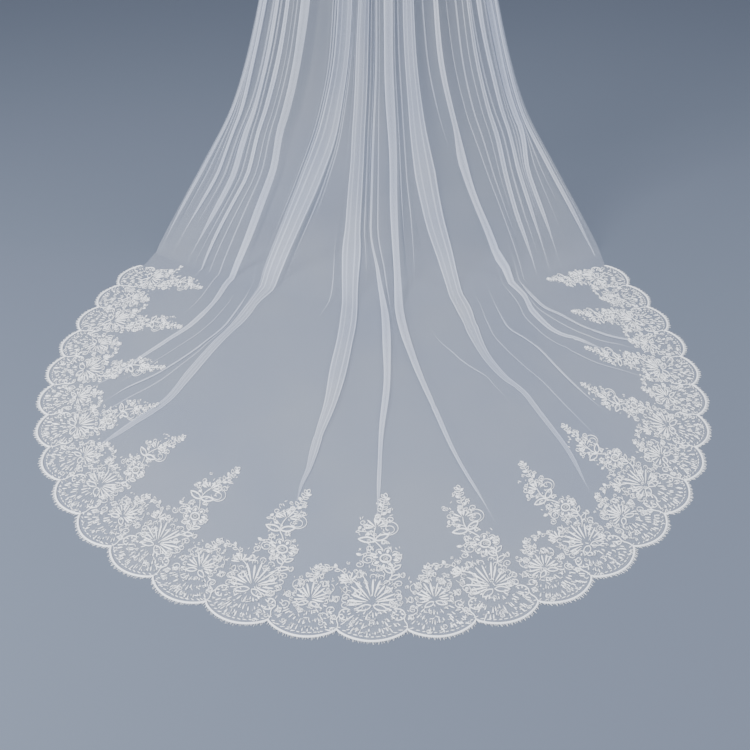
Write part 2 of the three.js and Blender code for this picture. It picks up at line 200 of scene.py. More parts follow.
# the veil without laps as a grid, lines across by rows down, with the depth of its ridges
def drapeGrid(across, rows):
    fall, place = fallAt(across), hemPlaceAt(across)
    point, along, out = hemAt(place)
    reach = np.clip(point[:, 0] / veil["startHalf"], -1, 1)
    foot = fall + (reach - fall) * veil["spreadShare"]
    even = 2 * across / ridgeCount - 1
    height = sections[:, 0]
    evenness = smooth(height, veil["driftBelow"], veil["evenAbove"])
    drifted = fall[:, None] + (even - fall)[:, None] * evenness
    share = foot[:, None] + (drifted - foot[:, None]) * smooth(height, 0, veil["spreadHeight"])
    stops = np.zeros((len(across), len(height) + 2, 4))
    bow = veil["footBow"] + (veil["fallBow"] - veil["footBow"]) * smooth(height, 0, veil["spreadHeight"])
    shift = veil["fallShift"] * (1 - smooth(height, veil["driftBelow"], veil["combHeight"]))
    stops[:, :-2, 0] = sections[:, 1] * share + shift
    stops[:, :-2, 1] = sections[:, 2] + (sections[:, 3] - sections[:, 2]) * np.abs(share) ** bow
    stops[:, :-2, 2] = height
    stops[:, :-2, 3] = sections[:, 4]
    inset = veil["rimInset"] * smooth(hemHalf - np.abs(place), 0, 1)
    stops[:, -2, :2] = point - out * inset[:, None]
    stops[:, -1, :2] = point + out * bulge(place)[:, None]
    stops[:, -2:, 3] = sections[-1, 4]
    stops[:, :, 2] += floorZ + 0.5
    steps = np.linalg.norm(np.diff(stops[:, :, :3], axis=1), axis=2)
    distances = np.concatenate([np.zeros((len(across), 1)), np.cumsum(steps, axis=1)], axis=1)
    grid = np.zeros((len(across), len(rows), 4))
    for k in range(len(across)):
        hanging, length = distances[k, len(height) - 1], distances[k, -1]
        at = np.where(rows < veil["foot"], rows / veil["foot"] * hanging,
                      hanging + (rows - veil["foot"]) / (1 - veil["foot"]) * (length - hanging))
        grid[k] = monotone(distances[k], stops[k], at)
    return grid[:, :, :3], grid[:, :, 3]


# bridal tulle: a sheer nylon net. The real cells are about 1 mm; they are drawn at 4 mm so that they show
tulleSettings = dict(rows=(8, 62, 66), lines=2201, sheer=0.1, thread=0.1, creaseHighlight=0.5, cell=4)
tulleMaterial, tree, shader = newMaterial("bridalTulle", Roughness=0.55, Sheen_Weight=0.35,
                                          Sheen_Roughness=0.4)
cloth = addNode(tree, "ShaderNodeUVMap", uv_map="cloth")
net = addNode(tree, "ShaderNodeTexVoronoi",
              {"Vector": cloth.outputs["UV"], "Scale": 1000 / tulleSettings["cell"], "Randomness": 0.25},
              feature="DISTANCE_TO_EDGE", voronoi_dimensions="2D")
strand = addNode(tree, "ShaderNodeMapRange",
                 {"Value": net.outputs["Distance"], "From Min": 0.02, "From Max": 0.16,
                  "To Min": tulleSettings["sheer"] + tulleSettings["thread"], "To Max": tulleSettings["sheer"]})
# painted highlight: an attribute raises the net's opacity along fold turns and the cut edges, so they show as
# bright lines
edge = addNode(tree, "ShaderNodeAttribute", attribute_name="creaseHighlight")
netAndHighlight = addNode(tree, "ShaderNodeMath", {0: edge.outputs["Fac"], 1: tulleSettings["creaseHighlight"],
                2: strand.outputs["Result"]}, operation="MULTIPLY_ADD", use_clamp=True)
drift = addNode(tree, "ShaderNodeTexNoise", {"Vector": cloth.outputs["UV"], "Scale": 3.0, "Detail": 3.0})
tint = addNode(tree, "ShaderNodeValToRGB", {"Fac": drift.outputs["Fac"]})
tint.color_ramp.elements[0].position = 0.35
tint.color_ramp.elements[0].color = hexColour("d6def3")
tint.color_ramp.elements[1].position = 0.65
tint.color_ramp.elements[1].color = hexColour("e8edfa")
tree.links.new(tint.outputs["Color"], shader.inputs["Base Color"])
tree.links.new(netAndHighlight.outputs["Value"], shader.inputs["Alpha"])

# laps from left to right. photo is a list of points along the fold, read in the photograph; top and
# foot are its places across at the comb and at the hem. width is (down, millimetres), and a lap runs out
# between end and end + fade
laps = [
    dict(photo=[(165, 240)], top=0.2, foot=0.1, width=[(0, 10), (1, 8)], lean=1, end=0.53, fade=0.08),
    dict(photo=[(237, 122), (215, 180), (180, 240), (165, 262)], top=0.65, foot=0.65,
         width=[(0, 12), (1, 10)], lean=-1, end=0.52, fade=0.08),
    dict(photo=[(251, 122), (232, 180), (199, 240), (188, 262)], top=1.45, foot=1.5,
         width=[(0, 16), (1, 10)], lean=1, end=0.53, fade=0.08),
    dict(photo=[(262, 122), (245, 180), (212, 245), (199, 272)], top=2.0, foot=2.1,
         width=[(0, 14), (1, 10)], lean=-1, end=0.55, fade=0.1),
    dict(photo=[(283, 123), (273, 175), (249, 235), (226, 284), (212, 304), (193, 324), (167, 341), (140, 358),
                (110, 378)], top=2.6, foot=2.66,
         width=[(0, 16), (0.5, 19), (0.62, 17), (0.75, 12), (1, 7)], lean=1, end=0.86, fade=0.08),
    dict(photo=[(229, 321), (207, 340), (185, 356), (161, 372), (120, 392)], top=3.2, foot=3.04,
         width=[(0, 6), (1, 6)], lean=-1, start=0.56, end=0.86, fade=0.06),
    dict(photo=[(331, 123), (309, 186), (292, 226), (269, 280), (255, 301), (242, 318), (214, 347), (189, 375),
                (168, 399), (130, 425), (95, 447)], top=3.8, foot=3.47,
         width=[(0, 40), (0.42, 56), (0.53, 52), (0.58, 44), (0.63, 30), (0.7, 25), (0.8, 20),
                (0.94, 12), (1, 8)], lean=1, end=0.9, fade=0.06, wide=True),
    dict(photo=[(359, 123), (357, 169), (351, 261), (350, 312), (344, 347), (331, 399), (317, 440), (310, 467),
                (301, 489)], top=4.6, foot=4.52,
         width=[(0, 40), (0.43, 54), (0.55, 47), (0.61, 45), (0.68, 42), (0.72, 37), (0.76, 31), (0.81, 23),
                (0.85, 14), (0.9, 7), (1, 6)], lean=-1, end=0.85, fade=0.05, wide=True),
    dict(photo=[(371, 226), (378, 272), (384, 312), (387, 375), (381, 440), (378, 496)], top=5.1, foot=5.3,
         width=[(0, 5), (0.52, 5), (0.57, 12), (0.62, 20), (0.74, 17), (0.83, 8), (1, 5)], lean=1, end=0.85,
         fade=0.06),
    dict(photo=[(391, 123), (394, 215), (399, 301), (404, 330), (413, 358), (430, 399), (448, 440), (484, 500)],
         top=5.55, foot=6.3,
         width=[(0, 20), (0.43, 26), (0.55, 19), (0.6, 22), (0.65, 25), (0.69, 19), (0.756, 13),
                (0.85, 8), (1, 6)], lean=1, end=0.86, fade=0.06),
    dict(photo=[(417, 123), (433, 215), (446, 261), (463, 310), (472, 330), (484, 353), (502, 375), (529, 399),
                (562, 442), (597, 504)], top=6.4, foot=6.73,
         width=[(0, 40), (0.43, 57), (0.515, 49), (0.56, 45), (0.626, 41), (0.666, 32), (0.708, 21), (0.75, 17),
                (0.8, 12), (0.9, 8), (1, 6)], lean=-1, end=0.88, fade=0.06, wide=True),
    dict(photo=[(506, 324), (526, 340), (544, 355), (589, 399)], top=6.85, foot=7.1,
         width=[(0, 6), (1, 6)], lean=1, start=0.58, end=0.8, fade=0.08),
    dict(photo=[(454, 123), (465, 169), (481, 215), (494, 249), (507, 272), (523, 295), (533, 312), (549, 327),
                (590, 344), (630, 358)], top=7.3, foot=7.6,
         width=[(0, 24), (0.44, 28), (0.63, 26), (0.7, 18), (0.77, 12), (1, 7)], lean=-1, end=0.78, fade=0.08),
    dict(photo=[(542, 305), (560, 315), (583, 327), (606, 335), (641, 342)], top=7.65, foot=8.16,
         width=[(0, 9), (0.6, 11), (1, 7)], lean=1, start=0.55, end=0.88, fade=0.06),
    dict(photo=[(492, 122), (505, 172), (520, 224), (533, 263)], top=8.5, foot=8.6,
         width=[(0, 14), (1, 8)], lean=-1, end=0.54, fade=0.08),
    dict(photo=[(505, 122), (518, 172), (535, 224), (548, 263)], top=9.2, foot=9.2,
         width=[(0, 16), (1, 8)], lean=1, end=0.53, fade=0.08),
    dict(photo=[(518, 122), (528, 172), (547, 224), (559, 263)], top=9.95, foot=9.8,
         width=[(0, 14), (1, 8)], lean=-1, end=0.53, fade=0.08),
    dict(photo=[(587, 240), (595, 255)], top=10.6, foot=10.5,
         width=[(0, 18), (1, 10)], lean=1, end=0.54, fade=0.1),
]
# fine pleats: the lap to the left of each (-1 is the left edge), its place between that lap and the next as
# (down, share), where it starts and ends, its width
pleats = [
    (-1, [(0, 0.5), (1, 0.5)], 0.1, 0.5, 5),
    (0, [(0, 0.3), (1, 0.4)], 0.05, 0.5, 5),
    (0, [(0, 0.62), (1, 0.75)], 0.12, 0.46, 4),
    (1, [(0, 0.4), (1, 0.5)], 0.06, 0.5, 6),
    (1, [(0, 0.75), (1, 0.8)], 0.2, 0.48, 4),
    (2, [(0, 0.45), (1, 0.5)], 0.08, 0.54, 5),
    (3, [(0, 0.3), (1, 0.3)], 0.05, 0.56, 6),
    (3, [(0, 0.7), (1, 0.6)], 0.16, 0.66, 5),
    (4, [(0, 0.5), (1, 0.5)], 0.6, 0.82, 5),
    (5, [(0, 0.2), (1, 0.35)], 0.62, 0.9, 5),
    (5, [(0, 0.5), (0.5, 0.62), (1, 0.7)], 0.06, 0.5, 5),
    (5, [(0, 0.8), (0.5, 0.86), (1, 0.86)], 0.14, 0.66, 7),
    (6, [(0, 0.14), (0.5, 0.1), (1, 0.12)], 0.05, 0.5, 8),
    (6, [(0, 0.3), (0.5, 0.24), (1, 0.3)], 0.3, 0.46, 5),
    (6, [(0, 0.7), (0.56, 0.8), (0.66, 0.66), (1, 0.6)], 0.5, 0.57, 6),
    (7, [(0, 0.35), (1, 0.4)], 0.05, 0.5, 5),
    (7, [(0, 0.75), (1, 0.8)], 0.2, 0.44, 4),
    (8, [(0, 0.35), (1, 0.35)], 0.08, 0.56, 6),
    (9, [(0, 0.2), (1, 0.15)], 0.05, 0.48, 5),
    (9, [(0, 0.45), (0.5, 0.55), (0.6, 0.3), (1, 0.28)], 0.24, 0.5, 5),
    (9, [(0, 0.75), (0.55, 0.7), (0.64, 0.4), (0.7, 0.65), (0.75, 0.9), (1, 0.9)], 0.62, 0.72, 5),
    (10, [(0, 0.4), (1, 0.5)], 0.58, 0.82, 5),
    (11, [(0, 0.3), (1, 0.3)], 0.08, 0.4, 5),
    (11, [(0, 0.65), (1, 0.6)], 0.56, 0.86, 6),
    (12, [(0, 0.5), (1, 0.5)], 0.6, 0.84, 5),
    (13, [(0, 0.25), (1, 0.25)], 0.07, 0.56, 5),
    (13, [(0, 0.55), (1, 0.55)], 0.14, 0.5, 5),
    (13, [(0, 0.8), (1, 0.8)], 0.1, 0.48, 4),
    (14, [(0, 0.5), (1, 0.5)], 0.06, 0.52, 6),
    (15, [(0, 0.4), (1, 0.4)], 0.1, 0.5, 5),
    (15, [(0, 0.75), (1, 0.7)], 0.22, 0.5, 4),
    (16, [(0, 0.35), (1, 0.35)], 0.06, 0.5, 5),
    (16, [(0, 0.7), (1, 0.7)], 0.12, 0.48, 5),
    (17, [(0, 0.5), (1, 0.5)], 0.08, 0.54, 6),
]
lapSettings = dict(startHigh=0.03, startLow=0.16, gapHang=4.0, gapFloor=1.2, wideGap=1.3, ease=30, rim=0.06,
                   uneven=0.07, wander=1.5, pleatFade=0.09, pleatGap=0.5, pleatShine=0.3, pleatScale=0.65,
                   lapRoom=0.4, pleatRoom=0.06, crowding=0.9, narrowest=0.02,
                   gathers=42, gatherDepth=2.4, gatherFrom=0.03, gatherTo=0.2)
# one lap from left to right: place across in half widths, layer, painted highlight at the turn
wideLap = np.array([
    (-1, 0, 0), (-0.5, 0, 0), (0, 0, 0), (0.5, 0, 0), (0.8, 0.01, 0), (0.92, 0.08, 0.5), (1, 0.5, 1),
    (0.92, 0.92, 0.5), (0.8, 0.99, 0), (0.3, 1, 0), (-0.3, 1, 0), (-0.8, 1.01, 0), (-0.92, 1.08, 0.5),
    (-1, 1.5, 1), (-0.92, 1.92, 0.5), (-0.8, 1.99, 0), (-0.5, 2, 0), (-0.36, 2.02, 0.5), (-0.22, 2, 0),
    (0.3, 2, 0), (0.44, 2.02, 0.35), (0.56, 2, 0), (1, 2, 0),
])
thinLap = np.array([
    (-1, 0, 0), (0.6, 0.03, 0.1), (0.95, 0.25, 0.8), (0.95, 0.75, 0.8), (0, 1, 0.1), (-0.95, 1.25, 0.8),
    (-0.95, 1.75, 0.8), (-0.6, 1.97, 0.1), (1, 2, 0),
])
finePleat = np.array([
    (-1, 0, 0), (0.9, 0.3, 0.8), (0.9, 0.7, 0.8), (-0.9, 1.3, 0.8), (-0.9, 1.7, 0.8), (1, 2, 0),
])


# the veil with its ridges and gathers but no laps, and the directions out of the cloth
def ridgedGrid(lines, rows):
    base, depth = drapeGrid(lines, rows)
    marks = hemAt(np.linspace(-hemHalf, hemHalf, 4 * veil["scallops"] + 1))[0]
    marks = np.column_stack([marks, np.full(len(marks), floorZ)])
    toHem = np.stack([np.linalg.norm(base[:, j, None] - marks, axis=2).min(1) for j in range(len(rows))], 1)
    normal = np.cross(np.gradient(base, axis=1), np.gradient(base, axis=0))
    normal[:, base[0, :, 2] < floorZ + 1] = (0, 0, 1)
    normal /= np.maximum(np.linalg.norm(normal, axis=2), 1e-9)[:, :, None]
    cell = np.minimum(np.floor(lines), ridgeCount - 1).astype(int)
    ridge = ridges[cell, 2] * (1 - np.cos(2 * np.pi * (lines - cell))) / 2
    flat = smooth(toHem, veil["flatRim"], veil["flatRim"] + veil["fade"])
    # small gathers where the cloth is sewn to the comb
    gather = np.sin(2 * np.pi * lapSettings["gathers"] * lines / ridgeCount + 1.3 * np.sin(lines * 2.1))
    fading = 1 - smooth(rows, lapSettings["gatherFrom"], lapSettings["gatherTo"])
    gather = gather[:, None] * lapSettings["gatherDepth"] * smooth(rows, 0, 0.02) * fading
    return base + normal * (ridge[:, None] * depth * flat + gather)[:, :, None], normal


# folds are looked up on that cloth from points of the photograph, in pixels of its 750 x 750 frame
lookup = dict(photoSize=750, lines=1101, rows=351, top=0.3)
lookLines = np.linspace(0, ridgeCount, lookup["lines"])
lookRows = np.linspace(lookup["top"], 1, lookup["rows"])
lookDown = math.radians(cameraSettings["down"])
away = ridgedGrid(lookLines, lookRows)[0] - np.array(cameraSettings["place"]) / mm
focal = cameraSettings["lens"] / cameraSettings["sensor"] * lookup["photoSize"]
scale = focal / (away @ np.array([0, math.cos(lookDown), -math.sin(lookDown)]))
lookX = lookup["photoSize"] / 2 + away[:, :, 0] * scale
lookY = lookup["photoSize"] / 2 - (away @ np.array([0, math.sin(lookDown), math.cos(lookDown)])) * scale


# a lap's path as (down, across), from the comb to the hem
def lapPath(lap):
    stops = [(0, lap["top"])]
    for x, y in lap["photo"]:
        line, row = np.unravel_index(np.argmin((lookX - x) ** 2 + (lookY - y) ** 2), lookX.shape)
        stops.append((lookRows[row], lookLines[line]))
    return np.array(stops + [(1, lap["foot"])])


def drapeVeil():
    high, hang, lie = tulleSettings["rows"]
    rows = np.concatenate([np.linspace(0, 0.03, high)[:-1], np.linspace(0.03, 0.6, hang)[:-1],
                           np.linspace(0.6, 0.972, lie), [0.98, 0.988, 0.994, 1]])
    lines = np.linspace(0, ridgeCount, tulleSettings["lines"])
    base, normal = ridgedGrid(lines, rows)
    step = lines[1] - lines[0]
    perPlace = np.linalg.norm(np.gradient(base, step, axis=0), axis=2)

    def at(grid, across, j):
        k = np.clip(across / step, 0, len(lines) - 1.001)
        low = k.astype(int)
        part = (k - low).reshape((-1,) + (1,) * (grid.ndim - 2))
        return grid[low, j] * (1 - part) + grid[low + 1, j] * part

    # centre, half width, strength and layer gap of every lap in every row
    count = len(laps)
    centre = np.stack([monotone(*lapPath(lap).T, rows)[:, 0] for lap in laps])
    width = np.stack([monotone(*np.array(lap["width"]).T, rows)[:, 0] for lap in laps])
    strength = np.zeros_like(centre)
    for i, lap in enumerate(laps):
        start = lap.get("start", lapSettings["startHigh"])
        strength[i] = smooth(rows, start, start + lapSettings["startLow"] - lapSettings["startHigh"])
        strength[i] *= 1 - smooth(rows, lap["end"], lap["end"] + lap["fade"])
    # no lap is quite even: its width and its line waver a little
    own = np.arange(count)[:, None] * 2.4
    width *= 1 + lapSettings["uneven"] * (np.sin(31 * rows + own) + 0.6 * np.sin(67 * rows + 1.7 * own))
    waver = lapSettings["wander"] * (np.sin(23 * rows + 1.3 * own) + 0.5 * np.sin(53 * rows + own))
    half = np.zeros_like(centre)
    for j in range(len(rows)):
        size = at(perPlace, centre[:, j], j)
        half[:, j] = width[:, j] / 2 / size
        centre[:, j] += waver[:, j] / size * smooth(rows[j], 0.05, 0.2)
    walls = np.vstack([np.zeros(len(rows)), centre, np.full(len(rows), ridgeCount)])
    room = np.minimum(np.diff(walls, axis=0)[:-1], np.diff(walls, axis=0)[1:])
    half = np.minimum(half, lapSettings["lapRoom"] * room)
    gapHang, gapFloor = lapSettings["gapHang"], lapSettings["gapFloor"]
    gap = gapHang + (gapFloor - gapHang) * smooth(rows, 0.5, 0.62)
    folds = []
    for i, lap in enumerate(laps):
        wide = lap.get("wide")
        folds.append(dict(centre=centre[i], half=half[i], strength=strength[i], lean=lap["lean"], shine=1,
                          order=i, gap=gap * strength[i] * (lapSettings["wideGap"] if wide else 1),
                          section=wideLap if wide else thinLap))
    # fine pleats lie between them, in the order of the table
    for k, (left, shares, start, end, size) in enumerate(pleats):
        low, high = np.zeros(len(rows)), np.full(len(rows), float(ridgeCount))
        if left >= 0:
            low = centre[left] + half[left]
        if left + 1 < count:
            high = centre[left + 1] - half[left + 1]
        share = monotone(*np.array(shares).T, rows)[:, 0] + 0.03 * np.sin(19 * rows + 2 * k)
        middle = low + (high - low) * share
        perRow = np.array([at(perPlace, middle[j:j + 1], j)[0] for j in range(len(rows))])
        faint = smooth(rows, start, start + lapSettings["pleatFade"])
        faint = faint * (1 - smooth(rows, end, end + lapSettings["pleatFade"]))
        pleatHalf = size * lapSettings["pleatScale"] / 2 / perRow
        pleatHalf = np.minimum(pleatHalf, lapSettings["pleatRoom"] * (high - low))
        folds.append(dict(centre=middle, half=pleatHalf, strength=faint, lean=1 if k % 2 else -1,
                          shine=lapSettings["pleatShine"], order=left + 0.5 + 0.4 * shares[0][1],
                          gap=gap * faint * lapSettings["pleatGap"], section=finePleat))
    folds.sort(key=lambda fold: fold["order"])
    count = len(folds)
    centre, half, strength, gap = (np.stack([fold[key] for fold in folds])
                                   for key in ("centre", "half", "strength", "gap"))
    walls = np.vstack([np.zeros(len(rows)), centre, np.full(len(rows), ridgeCount)])
    rim = smooth(rows, 0.96, 1)
    half = half * (1 - rim * (1 - lapSettings["rim"]))
    # folds never run into each other or past the side edges
    edge = np.zeros((1, len(rows)))
    crowd = np.vstack([half, edge]) + np.vstack([edge, half])
    room = np.minimum(lapSettings["crowding"] * np.diff(walls, axis=0) / np.maximum(crowd, 1e-9), 1)
    half = half * np.maximum(np.minimum(room[:-1], room[1:]), lapSettings["narrowest"])

    # columns: every lap's section, and between laps the places that the scallops need
    fine = np.linspace(0, ridgeCount, 20001)
    scallopMarks = np.interp(np.arange(-hemHalf, hemHalf + 0.01, 1 / 6), hemPlaceAt(fine), fine)
    columns = []
    for i in range(count + 1):
        low, high = walls[i, -1], walls[i + 1, -1]
        shares = (scallopMarks[(scallopMarks > low) & (scallopMarks < high)] - low) / (high - low)
        even = np.linspace(0, 1, 5)[1:-1]
        if len(shares) < len(even):
            shares = even
        if i == 0:
            shares = np.concatenate([[0], shares])
        if i == count:
            shares = np.concatenate([shares, [1]])
        columns += [("gap", i, share) for share in shares]
        if i < count:
            section = folds[i]["section"]
            if folds[i]["lean"] < 0:
                section = section[::-1] * (-1, 1, 1)
            spread = np.linspace(-1, 1, len(section))
            columns += [("lap", i, (spread[k],) + tuple(section[k])) for k in range(len(section))]
    across = np.zeros((len(columns), len(rows)))
    lift = np.zeros_like(across)
    # painted highlight along the fold turns, later used to raise the net's opacity
    creaseHighlight = np.zeros_like(across)
    leanRight = np.array([fold["lean"] > 0 for fold in folds])
    for c, (kind, i, value) in enumerate(columns):
        if kind == "lap":
            spread, place, layer, bright = value
            across[c] = centre[i] + half[i] * (spread + (place - spread) * strength[i])
            lift[c] = layer * gap[i]
            creaseHighlight[c] = bright * strength[i] * folds[i]["shine"]
            continue
        start = walls[i] + (half[i - 1] if i > 0 else 0)
        stop = walls[i + 1] - (half[i] if i < count else 0)
        across[c] = start + (stop - start) * value
        for j in range(len(rows)):
            size = at(perPlace, across[c, j:j + 1], j)[0]
            if i > 0 and leanRight[i - 1]:
                away = (across[c, j] - start[j]) * size
                lift[c, j] += 2 * gap[i - 1, j] * (1 - smooth(away, 0, lapSettings["ease"]))
            if i < count and not leanRight[i]:
                away = (stop[j] - across[c, j]) * size
                lift[c, j] += 2 * gap[i, j] * (1 - smooth(away, 0, lapSettings["ease"]))
    points = np.zeros((len(columns), len(rows), 3))
    for j in range(len(rows)):
        points[:, j] = at(base, across[:, j], j) + at(normal, across[:, j], j) * lift[:, j, None]
    points[:, :, 2] = np.maximum(points[:, :, 2], floorZ + 0.4)
    # a painted highlight makes the cut edges at the two sides show a little brighter
    creaseHighlight[[0, -1]] = 0.6
    return points, creaseHighlight


points, creaseHighlight = drapeVeil()
wide, tall = points.shape[:2]
index = np.arange(wide * tall).reshape(wide, tall)
faces = np.stack([index[:-1, :-1], index[:-1, 1:], index[1:, 1:], index[1:, :-1]], -1).reshape(-1, 4)
tulle = newPiece("tulleVeil", points.reshape(-1, 3), faces, tulleMaterial)
# the painted highlight along fold turns goes onto the cloth as an attribute
mark = tulle.data.attributes.new("creaseHighlight", "FLOAT", "POINT")
mark.data.foreach_set("value", creaseHighlight.reshape(-1))
# flat places on the cloth in metres, for the net
acrossSteps = np.linalg.norm(np.diff(points, axis=0), axis=2)
acrossFlat = np.cumsum(np.concatenate([np.zeros((1, tall)), acrossSteps]), axis=0)
acrossFlat -= acrossFlat[-1] / 2
downSteps = np.linalg.norm(np.diff(points, axis=1), axis=2)
downFlat = np.cumsum(np.concatenate([np.zeros((wide, 1)), downSteps], axis=1), axis=1)
flatPlace = np.stack([acrossFlat, downFlat], -1).reshape(-1, 2) * mm
loops = np.zeros(len(tulle.data.loops), int)
tulle.data.loops.foreach_get("vertex_index", loops)
tulle.data.uv_layers.new(name="cloth").data.foreach_set("uv", flatPlace[loops].reshape(-1))
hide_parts("tulle_fall", "tulle_train")
print("tulle", len(faces), "quads, longest line", round(downFlat.max() * mm, 3), "m")


# lace shapes in one motif: x along the hem, rise inwards from the scallop valleys, height above the cloth
def newShape():
    return dict(points=[], faces=[], count=0)


def addPart(shape, points, faces):
    shape["points"].append(np.asarray(points, float))
    shape["faces"] += [tuple(v + shape["count"] for v in face) for face in faces]
    shape["count"] += len(points)


cordSection = ((-0.5, 0), (-0.3, 0.85), (0.3, 0.85), (0.5, 0))


def addCord(shape, line, width, height, closed=False, base=0.2):
    line = np.asarray(line, float)
    count = len(line)
    if closed:
        heading = np.roll(line, -1, 0) - np.roll(line, 1, 0)
    else:
        heading = np.gradient(line, axis=0)
    heading /= np.maximum(np.linalg.norm(heading, axis=1), 1e-9)[:, None]
    side = np.stack([heading[:, 1], -heading[:, 0]], 1)
    size = np.ones(count)
    if not closed:
        size[[0, -1]] = 0.5
    rings = [np.column_stack([line + side * (x * width * size)[:, None], base + height * z * size])
             for x, z in cordSection]
    points = np.stack(rings, 1).reshape(-1, 3)
    faces = []
    for i in range(count if closed else count - 1):
        k = (i + 1) % count
        faces += [(4 * i + s, 4 * i + s + 1, 4 * k + s + 1, 4 * k + s) for s in range(3)]
    addPart(shape, points, faces)


# two strips of faces along rows of left, crown and right points
def stripFaces(count):
    return [(3 * i + s, 3 * i + s + 3, 3 * i + s + 4, 3 * i + s + 1) for i in range(count) for s in (0, 1)]


def turned(angle):
    a = math.radians(angle)
    return np.array([math.sin(a), math.cos(a)]), np.array([math.cos(a), -math.sin(a)])


# a padded satin stitch, pointed where it starts and round where it ends
def addPetal(shape, x, rise, angle, near, far, width, height=1.8):
    ahead, side = turned(angle)
    shares = np.array([0, 0.12, 0.34, 0.6, 0.82, 0.95, 1])
    halves = np.array([0.12, 0.4, 0.78, 1, 0.92, 0.55, 0.14]) * width / 2
    middle = np.array([x, rise]) + ahead * (near + (far - near) * shares)[:, None]
    crown = height * np.array([0.4, 0.8, 1, 1, 0.95, 0.7, 0.3])
    left = np.column_stack([middle - side * halves[:, None], np.full(7, 0.2)])
    right = np.column_stack([middle + side * halves[:, None], np.full(7, 0.2)])
    points = np.stack([left, np.column_stack([middle, crown]), right], 1).reshape(-1, 3)
    addPart(shape, points, stripFaces(6))


# a short flat stitch, pointed at both ends
def addStitch(shape, x, rise, angle, length, width, height=1.4):
    ahead, side = turned(angle)
    middle = np.array([x, rise]) + ahead * (length * np.array([-0.5, 0, 0.5]))[:, None]
    halves = width / 2 * np.array([0.35, 1, 0.35])[:, None]
    left = np.column_stack([middle - side * halves, np.full(3, 0.2)])
    right = np.column_stack([middle + side * halves, np.full(3, 0.2)])
    crown = np.column_stack([middle, height * np.array([0.6, 1, 0.6])])
    points = np.stack([left, crown, right], 1).reshape(-1, 3)
    addPart(shape, points, stripFaces(2))


def leafLine(x, rise, angle, length, width, count=7):
    ahead, side = turned(angle)
    t = np.linspace(0, 1, count)
    half = width / 2 * np.sin(np.pi * t ** 0.85) ** 0.8
    middle = np.array([x, rise]) + ahead * (length * t)[:, None]
    return np.vstack([middle - side * half[:, None], (middle + side * half[:, None])[-2:0:-1]])


def arcLine(x, rise, radius, start, stop, count=12):
    a = np.radians(np.linspace(start, stop, count))
    return np.stack([x + radius * np.sin(a), rise + radius * np.cos(a)], 1)


def spiralLine(x, rise, radius, start, turns, count=16):
    t = np.linspace(0, 1, count)
    a = np.radians(start + 360 * turns * t)
    r = radius * (1 - 0.8 * t)
    return np.stack([x + r * np.sin(a), rise + r * np.cos(a)], 1)


def curveLine(stops, count=12):
    stops = np.array(stops, float)
    return monotone(np.arange(len(stops)), stops, np.linspace(0, len(stops) - 1, count))


# loose looping stitches that fill the ground between flowers
def scribbleLine(x, rise, size, seed, count=22):
    pick = np.random.RandomState(seed).uniform(0, 2 * np.pi, 3)
    t = np.linspace(0, 2 * np.pi, count)
    return np.stack([x + size * np.sin(2 * t + pick[0]) * (0.8 + 0.2 * np.sin(t + pick[2])),
                     rise + size * np.cos(3 * t + pick[1]) * 0.9], 1)


laceSettings = dict(fine=1.0, thin=1.25, cord=1.9, bold=2.9, hem=3.6, low=1.1, high=1.7, sequin=2.1)


def sprig(cords, satin, line, leaves, size):
    addCord(cords, line, laceSettings["thin"], laceSettings["low"])
    for k in range(leaves):
        t = (k + 0.6) / leaves * (len(line) - 1)
        low = int(min(t, len(line) - 2))
        point = line[low] + (line[low + 1] - line[low]) * (t - low)
        ahead = line[low + 1] - line[low]
        angle = math.degrees(math.atan2(ahead[0], ahead[1])) + (52 if k % 2 else -52)
        leaf = leafLine(*point, angle, size, size * 0.55, 5)
        addCord(cords, leaf, laceSettings["thin"], laceSettings["low"], True)
        if k % 3 == 0:
            addPetal(satin, *point, angle, size * 0.2, size * 0.8, size * 0.3)


def fanFlower(cords, satin, sequins, x, rise, count, spread, far, width, seed, lean=0, loops=True):
    pick = np.random.RandomState(seed)
    for angle in np.linspace(-spread, spread, count) + lean:
        angle += pick.uniform(-3, 3)
        reach = far * (0.8 + 0.2 * math.cos(math.radians(angle - lean))) * pick.uniform(0.8, 1.04)
        addPetal(satin, x, rise, angle, far * pick.uniform(0.08, 0.34), reach, width * pick.uniform(0.8, 1.1))
        if loops:
            tip = np.array([x, rise]) + turned(angle)[0] * (reach + far * 0.1)
            loop = arcLine(*tip, far * 0.1, angle - 130, angle + 130, 7)
            addCord(cords, loop, laceSettings["thin"], laceSettings["low"])
            sequins.append((*(tip - turned(angle)[0]), 0.8))


# rows of short stitches between a flower and the scalloped edge
def sunburst(satin, sequins, rise, rows, seed):
    pick = np.random.RandomState(seed)
    for radius, length, spread, count, width in rows:
        for k, angle in enumerate(np.linspace(180 - spread, 180 + spread, count)):
            angle += pick.uniform(-4, 4)
            start = radius + pick.uniform(-4, 4)
            stop = start + length * pick.uniform(0.5, 1.1)
            addPetal(satin, 0, rise, angle, start, stop, width * pick.uniform(0.7, 1.1), 1.5)
            ahead = turned(angle + spread / count)[0] * (radius + length * pick.uniform(0, 1))
            sequins.append((ahead[0], rise + ahead[1], pick.uniform(0.6, 1)))


